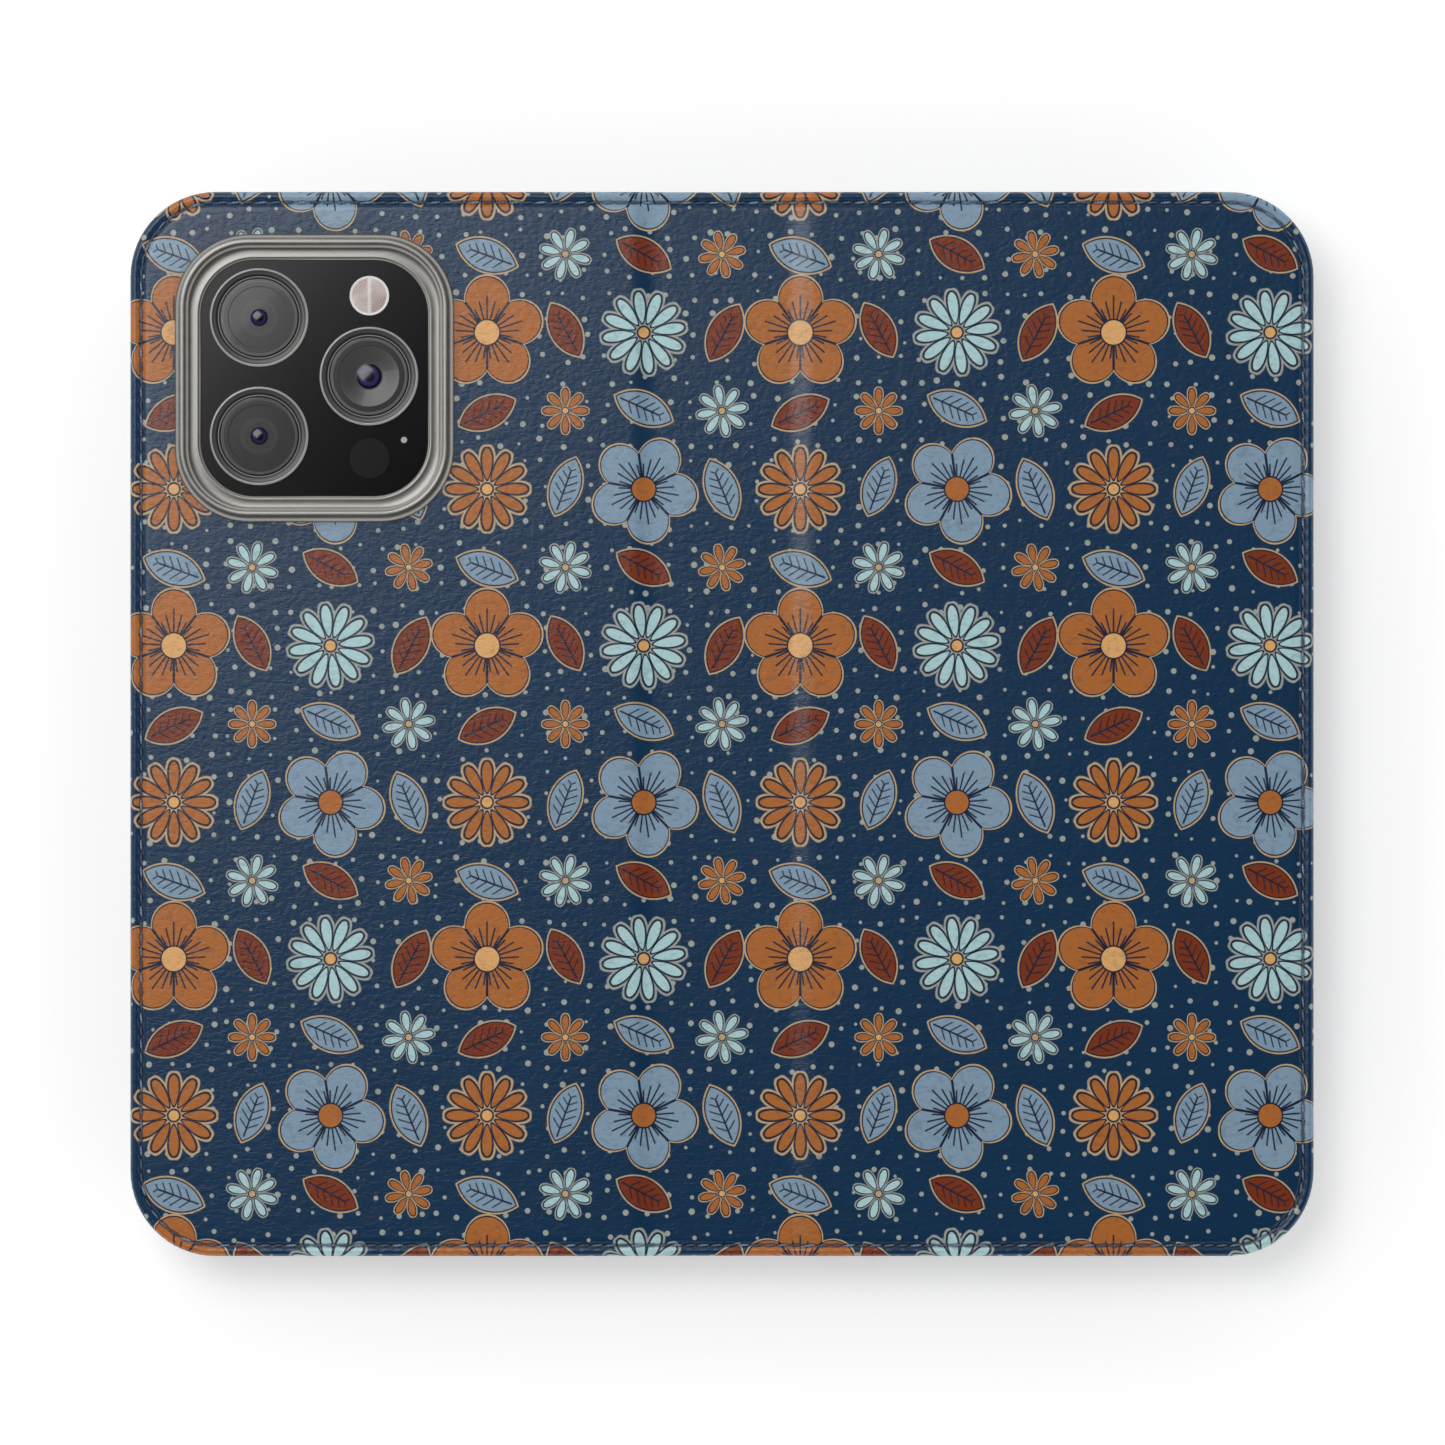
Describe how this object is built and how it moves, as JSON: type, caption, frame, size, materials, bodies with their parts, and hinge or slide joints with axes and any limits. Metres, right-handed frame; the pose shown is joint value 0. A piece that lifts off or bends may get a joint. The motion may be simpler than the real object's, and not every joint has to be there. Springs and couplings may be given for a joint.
{
  "type": "folio phone case",
  "caption": "Folio phone case lying opened flat, printed leather covers with a soft folding spine, a handset tray and a framed camera window.",
  "frame": {"origin": "centre of the flat opened cover, in the plane of the tray's lip, which is the lowest face", "axes": "+X from the back cover to the front cover, +Y towards the top of the handset, +Z out of the printed outside"},
  "size_m": [0.189, 0.17, 0.0138],
  "materials": {
    "printed_leather": "satin faux leather with fine grain and a printed floral",
    "lining_cloth": "short-nap microfibre",
    "grey_board": "raw pressed board",
    "adhesive_film": "double-sided film",
    "tray_plastic": "fine matte moulded polycarbonate",
    "satin_metal": "satin plated",
    "guard_glass": "dark back-coated, satin",
    "lens_metal": "dark polished",
    "lens_glass": "dark coated, polished",
    "flash_diffuser": "faceted pale diffuser",
    "pocket_leather": "plain satin faux leather",
    "magnet_steel": "nickel plated",
    "seam_thread": "twisted polyester thread"
  },
  "bodies": {
    "back_cover": {"back_skin": "printed_leather", "back_board": "grey_board", "back_lining": "lining_cloth", "catch_plate_1": "magnet_steel", "catch_plate_2": "magnet_steel", "back_seam_thread": "seam_thread", "handset_tray": "tray_plastic", "tray_adhesive": "adhesive_film", "camera_bezel": "satin_metal", "guard_plate": "guard_glass", "lens_ring_1": "lens_metal", "lens_ring_2": "lens_metal", "lens_ring_3": "lens_metal", "lens_window_1": "lens_glass", "lens_window_2": "lens_glass", "lens_window_3": "lens_glass", "flash_window": "flash_diffuser", "sensor_window": "guard_glass"},
    "spine": {"spine_skin": "printed_leather", "spine_lining": "lining_cloth", "spine_thread_top": "seam_thread", "spine_thread_bottom": "seam_thread"},
    "front_cover": {"front_skin": "printed_leather", "front_board": "grey_board", "front_lining": "lining_cloth", "closure_magnet_1": "magnet_steel", "closure_magnet_2": "magnet_steel", "front_seam_thread": "seam_thread", "cash_pocket": "pocket_leather", "card_pocket_1": "pocket_leather", "card_pocket_2": "pocket_leather", "card_pocket_3": "pocket_leather"}
  },
  "joints": [
    {"name": "back_fold", "type": "hinge", "parent": "back_cover", "child": "spine", "pos_m": [-0.0084, 0, 0.01227], "axis": [0, 1, 0], "range_deg": [-90, 90]},
    {"name": "front_fold", "type": "hinge", "parent": "spine", "child": "front_cover", "pos_m": [0.0084, 0, 0.01227], "axis": [0, 1, 0], "range_deg": [-90, 90]}
  ]
}
